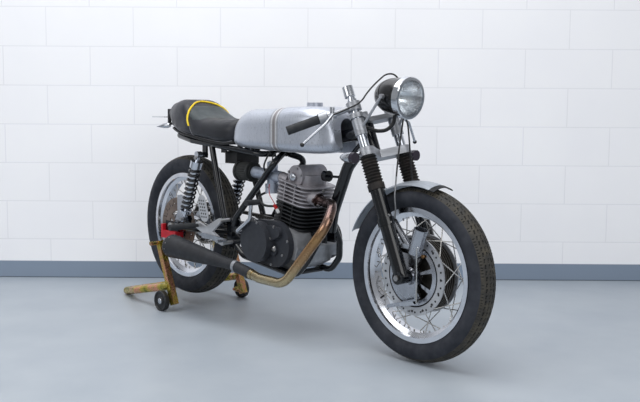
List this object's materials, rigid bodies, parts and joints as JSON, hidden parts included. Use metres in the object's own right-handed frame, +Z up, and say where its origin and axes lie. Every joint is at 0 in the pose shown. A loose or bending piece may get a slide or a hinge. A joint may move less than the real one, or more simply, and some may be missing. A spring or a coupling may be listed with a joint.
{
  "type": "cafe racer motorcycle",
  "caption": "Cafe racer motorcycle with an open finned engine, wire wheels, clip-on bars and a humped seat, held upright on its rear paddock stand.",
  "frame": {"origin": "on the floor, under the middle of the machine's length and in its middle plane", "axes": "+X forward along the machine, +Y to the rider's left, +Z up"},
  "size_m": [2.0791, 0.6192, 1.035],
  "materials": {
    "tyre_rubber": "matt",
    "polished_rim": "polished",
    "spoke_steel": "bright",
    "cast_alloy": "satin cast",
    "bright_alloy": "polished",
    "disc_steel": "ground",
    "chrome": "polished",
    "black_frame": "gloss",
    "black_engine": "satin",
    "black_pipe": "matt heat-proof",
    "bare_tank": "bare, clear-coated",
    "gaiter_rubber": "matt",
    "grip_rubber": "ribbed",
    "black_plastic": "satin",
    "lens_glass": "fluted",
    "lamp_silver": "satin, with dark lenses",
    "cable_sheath": "satin sheath",
    "slider_black": "gloss",
    "tinted_steel": "heat-tinted",
    "seat_leather": "stitched",
    "stand_paint": "yellow zinc plate",
    "pad_rubber": "matt",
    "filter_gauze": "pleated",
    "chain_steel": "oiled"
  },
  "bodies": {
    "machine": {"engine_cases": "cast_alloy", "cylinder": "black_engine", "cylinder_head": "cast_alloy", "engine_covers": "black_engine", "carburettor": "cast_alloy", "air_filter": "filter_gauze", "frame_spine": "black_frame", "frame_cradle": "black_frame", "seat_rails": "black_frame", "frame_sides": "black_frame", "swingarm": "black_frame", "rear_axle": "spoke_steel", "shocks": "chrome", "shock_springs": "black_frame", "exhaust_header": "tinted_steel", "muffler": "black_pipe", "fuel_tank": "bare_tank", "seat_pan": "black_frame", "seat": "seat_leather", "footpeg_plates": "bright_alloy", "footpegs": "grip_rubber", "pedals": "bright_alloy", "kick_lever": "chrome", "chain": "chain_steel", "rear_caliper": "cast_alloy", "tail_indicators": "lamp_silver", "battery_box": "black_plastic", "stand_frame": "stand_paint", "stand_pads": "pad_rubber"},
    "steering": {"fork_sliders": "slider_black", "fork_tubes": "chrome", "fork_gaiters": "gaiter_rubber", "fork_yokes": "cast_alloy", "front_axle": "spoke_steel", "clip_ons": "bright_alloy", "grips": "grip_rubber", "levers": "bright_alloy", "gauge": "bright_alloy", "headlight_shell": "black_frame", "headlight_ring": "chrome", "headlight_lens": "lens_glass", "headlight_brackets": "bright_alloy", "front_indicators": "lamp_silver", "brake_plate": "cast_alloy", "front_mudguard": "cast_alloy", "brake_cable": "cable_sheath", "speedometer_cable": "cable_sheath", "lamp_loom": "cable_sheath"},
    "front_wheel": {"front_tyre": "tyre_rubber", "front_rim": "polished_rim", "front_hub": "cast_alloy", "front_spokes": "spoke_steel"},
    "rear_wheel": {"rear_tyre": "tyre_rubber", "rear_rim": "polished_rim", "rear_hub": "cast_alloy", "rear_spokes": "spoke_steel", "rear_disc": "disc_steel", "rear_sprocket": "disc_steel"},
    "stand_wheel_right": {"stand_wheel_right": "grip_rubber"},
    "stand_wheel_left": {"stand_wheel_left": "grip_rubber"}
  },
  "joints": [
    {"name": "steering_turn", "type": "hinge", "parent": "machine", "child": "steering", "pos_m": [0.67215, 0, 0.29704], "axis": [-0.3811, 0, 0.9245], "range_deg": [-25, 25]},
    {"name": "front_wheel_spin", "type": "hinge", "parent": "steering", "child": "front_wheel", "pos_m": [0.723, 0, 0.318], "axis": [0, 1, 0], "continuous": true},
    {"name": "rear_wheel_spin", "type": "hinge", "parent": "machine", "child": "rear_wheel", "pos_m": [-0.677, 0, 0.366], "axis": [0, 1, 0], "continuous": true},
    {"name": "stand_wheel_right_spin", "type": "hinge", "parent": "machine", "child": "stand_wheel_right", "pos_m": [-0.593, -0.226, 0.046], "axis": [0, 1, 0], "continuous": true},
    {"name": "stand_wheel_left_spin", "type": "hinge", "parent": "machine", "child": "stand_wheel_left", "pos_m": [-0.593, 0.226, 0.046], "axis": [0, 1, 0], "continuous": true}
  ]
}
